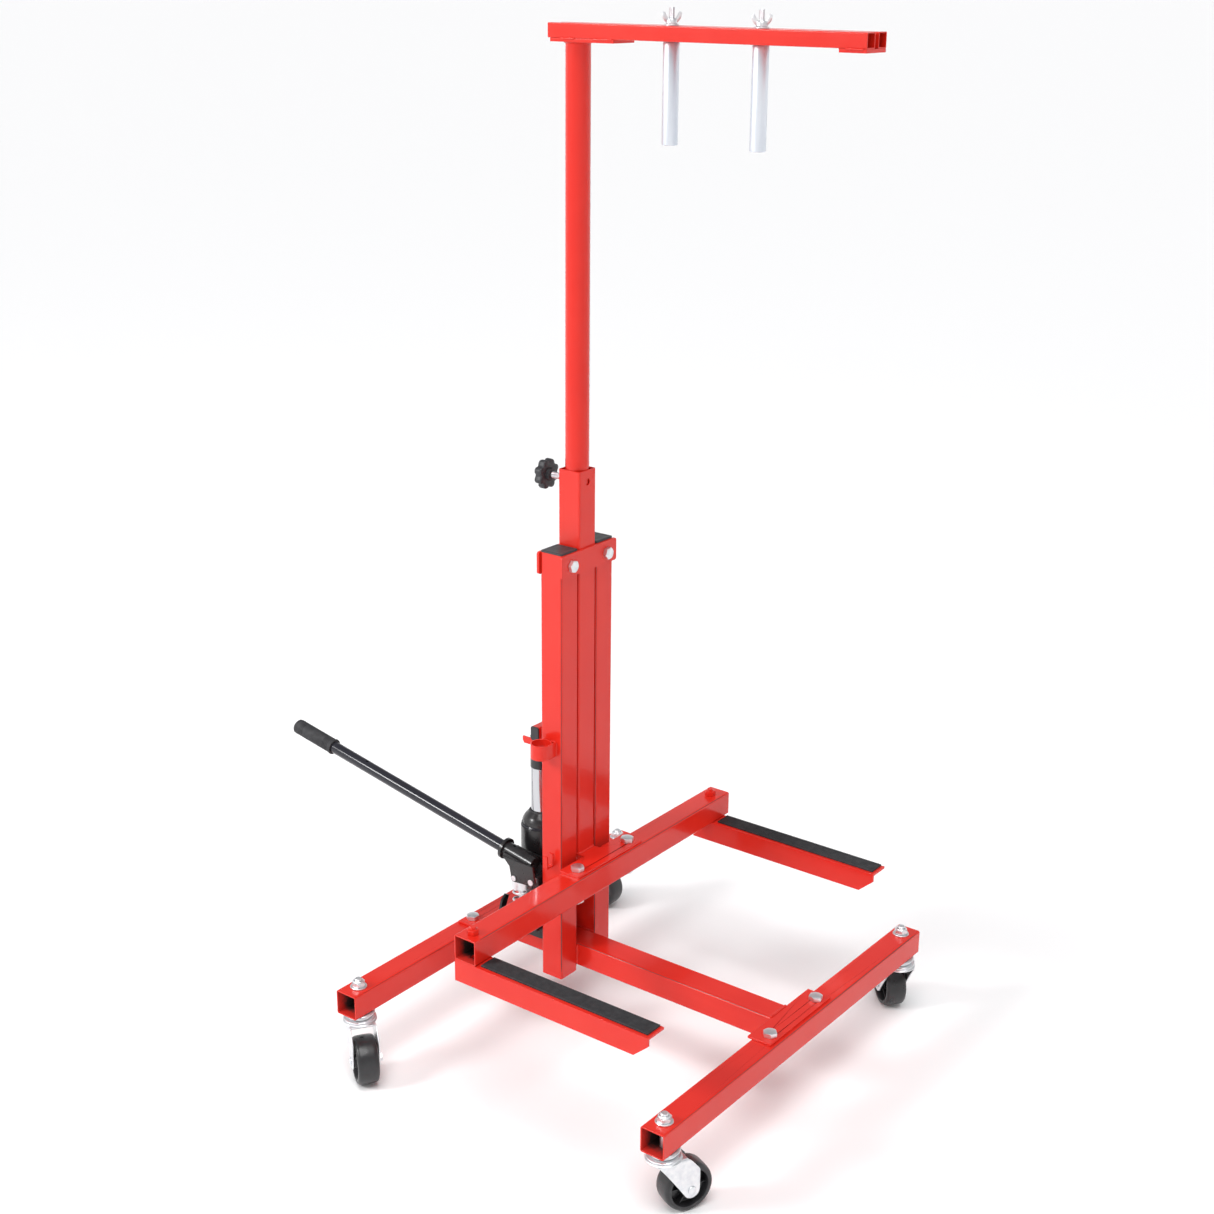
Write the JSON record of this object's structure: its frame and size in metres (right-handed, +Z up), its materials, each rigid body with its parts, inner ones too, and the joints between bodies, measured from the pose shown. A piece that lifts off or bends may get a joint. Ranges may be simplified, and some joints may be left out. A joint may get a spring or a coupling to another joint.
{
  "type": "hydraulic door lift jack",
  "caption": "Wheeled hydraulic lift for car doors: padded fork arms on a mast raised by a bottle jack, with a telescopic post and slotted top arm.",
  "frame": {"origin": "on the floor, under the middle of the whole lift's box as stored in the rest pose", "axes": "+Z up, -Y the way the fork arms and the top arm point, +X along the cross bars, with the pump handle on the -X half, pointing back towards +Y"},
  "size_m": [0.7761, 1.0418, 1.5887],
  "materials": {
    "red_paint": "gloss",
    "zinc_plate": "satin",
    "chrome": "polished",
    "black_paint": "semi-gloss",
    "black_plastic": "matte",
    "rubber": "matte"
  },
  "bodies": {
    "base": {"centre_beam": "red_paint", "t_plates": "red_paint", "front_cross_bar": "red_paint", "rear_cross_bar": "red_paint", "t_plate_bolts": "zinc_plate", "left_upright": "red_paint", "right_upright": "red_paint", "upright_caps": "black_plastic", "front_strap": "red_paint", "rear_strap": "red_paint", "strap_bolts": "zinc_plate", "handle_ring": "red_paint", "handle_hook": "red_paint", "caster_stems": "zinc_plate", "jack_base": "black_paint", "jack_body": "black_paint", "jack_cylinder": "zinc_plate", "jack_top_nut": "black_paint", "pump_cylinder": "zinc_plate", "pump_spring": "zinc_plate", "fulcrum_pin": "zinc_plate"},
    "carriage": {"mast_tube": "red_paint", "lift_plate": "red_paint", "lift_plate_bolts": "zinc_plate", "lift_bar": "red_paint", "left_fork_arm": "red_paint", "right_fork_arm": "red_paint", "fork_pads": "rubber", "fork_arm_bolts": "red_paint", "jack_bracket": "red_paint", "bracket_plugs": "black_plastic"},
    "ram": {"jack_ram": "chrome", "jack_saddle": "black_paint"},
    "plunger": {"pump_plunger": "zinc_plate"},
    "lever": {"handle_socket": "black_paint", "roller_pin": "zinc_plate"},
    "handle": {"jack_handle": "black_paint", "handle_grip": "rubber"},
    "valve": {"release_valve": "black_paint"},
    "clamp": {"clamp_knob": "black_plastic"},
    "glide": {"post_glide": "black_plastic"},
    "post": {"post_tube": "red_paint", "arm_rails": "red_paint", "arm_plates": "red_paint"},
    "rear_hanger": {"rear_pin": "zinc_plate"},
    "front_hanger": {"front_pin": "zinc_plate"},
    "rear_nut": {"rear_wing_nut": "zinc_plate"},
    "front_nut": {"front_wing_nut": "zinc_plate"},
    "front_left_swivel": {"front_left_fork": "zinc_plate", "front_left_axle": "zinc_plate"},
    "front_left_roller": {"front_left_wheel": "black_plastic"},
    "front_right_swivel": {"front_right_fork": "zinc_plate", "front_right_axle": "zinc_plate"},
    "front_right_roller": {"front_right_wheel": "black_plastic"},
    "rear_left_swivel": {"rear_left_fork": "zinc_plate", "rear_left_axle": "zinc_plate"},
    "rear_left_roller": {"rear_left_wheel": "black_plastic"},
    "rear_right_swivel": {"rear_right_fork": "zinc_plate", "rear_right_axle": "zinc_plate"},
    "rear_right_roller": {"rear_right_wheel": "black_plastic"}
  },
  "joints": [
    {"name": "carriage_lift", "type": "slide", "parent": "base", "child": "carriage", "axis": [0, 0, 1], "range_m": [-0.065, 0.06]},
    {"name": "ram_lift", "type": "slide", "parent": "base", "child": "ram", "axis": [0, 0, 1], "range_m": [-0.065, 0.06]},
    {"name": "handle_pump", "type": "hinge", "parent": "base", "child": "lever", "pos_m": [-0.05904, -0.0204, 0.2645], "axis": [1, 0, 0], "range_deg": [-30, 0], "stiffness_Nm_per_rad": 5, "springref_deg": 51.57},
    {"name": "plunger_stroke", "type": "slide", "parent": "base", "child": "plunger", "axis": [0, 0, 1], "range_m": [-0.0174, 0], "deforming": ["pump_spring"]},
    {"name": "handle_pull", "type": "slide", "parent": "lever", "child": "handle", "axis": [0, 0.9816, 0.1908], "range_m": [0, 0.055]},
    {"name": "valve_turn", "type": "hinge", "parent": "base", "child": "valve", "pos_m": [-0.05904, 0.0281, 0.169], "axis": [0, -1, 0], "range_deg": [0, 90]},
    {"name": "clamp_turn", "type": "hinge", "parent": "carriage", "child": "clamp", "pos_m": [-0.00204, 0.0011, 0.913], "axis": [0, 1, 0], "continuous": true},
    {"name": "post_height", "type": "slide", "parent": "carriage", "child": "glide", "axis": [0, 0, 1], "range_m": [-0.34, 0.15]},
    {"name": "post_turn", "type": "hinge", "parent": "glide", "child": "post", "pos_m": [-0.00204, -0.0509, 0.683], "axis": [0, 0, 1], "range_deg": [-180, 180]},
    {"name": "rear_pin_slide", "type": "slide", "parent": "post", "child": "rear_hanger", "axis": [0, 1, 0], "range_m": [-0.06, 0.03]},
    {"name": "front_pin_slide", "type": "slide", "parent": "post", "child": "front_hanger", "axis": [0, 1, 0], "range_m": [-0.085, 0.05]},
    {"name": "rear_nut_turn", "type": "hinge", "parent": "rear_hanger", "child": "rear_nut", "pos_m": [-0.00204, -0.2089, 1.575], "axis": [0, 0, 1], "continuous": true},
    {"name": "front_nut_turn", "type": "hinge", "parent": "front_hanger", "child": "front_nut", "pos_m": [-0.00204, -0.3509, 1.575], "axis": [0, 0, 1], "continuous": true},
    {"name": "front_left_swivel_turn", "type": "hinge", "parent": "base", "child": "front_left_swivel", "pos_m": [-0.33404, -0.4649, 0.09], "axis": [0, 0, 1], "continuous": true},
    {"name": "front_left_wheel_turn", "type": "hinge", "parent": "front_left_swivel", "child": "front_left_roller", "pos_m": [-0.30323, -0.47927, 0.038], "axis": [0.4226, 0.9063, 0], "continuous": true},
    {"name": "front_right_swivel_turn", "type": "hinge", "parent": "base", "child": "front_right_swivel", "pos_m": [0.32996, -0.4649, 0.09], "axis": [0, 0, 1], "continuous": true},
    {"name": "front_right_wheel_turn", "type": "hinge", "parent": "front_right_swivel", "child": "front_right_roller", "pos_m": [0.35181, -0.43885, 0.038], "axis": [-0.766, 0.6428, 0], "continuous": true},
    {"name": "rear_left_swivel_turn", "type": "hinge", "parent": "base", "child": "rear_left_swivel", "pos_m": [-0.33404, 0.1151, 0.09], "axis": [0, 0, 1], "continuous": true},
    {"name": "rear_left_wheel_turn", "type": "hinge", "parent": "rear_left_swivel", "child": "rear_left_roller", "pos_m": [-0.35354, 0.08725, 0.038], "axis": [0.8192, -0.5736, 0], "continuous": true},
    {"name": "rear_right_swivel_turn", "type": "hinge", "parent": "base", "child": "rear_right_swivel", "pos_m": [0.32996, 0.1151, 0.09], "axis": [0, 0, 1], "continuous": true},
    {"name": "rear_right_wheel_turn", "type": "hinge", "parent": "rear_right_swivel", "child": "rear_right_roller", "pos_m": [0.32996, 0.1491, 0.038], "axis": [-1, 0, 0], "continuous": true}
  ],
  "couplings": [
    {"joint": "ram_lift", "follows": "carriage_lift", "ratio": 1},
    {"joint": "plunger_stroke", "follows": "handle_pump", "m_per_rad": 0.0331}
  ]
}
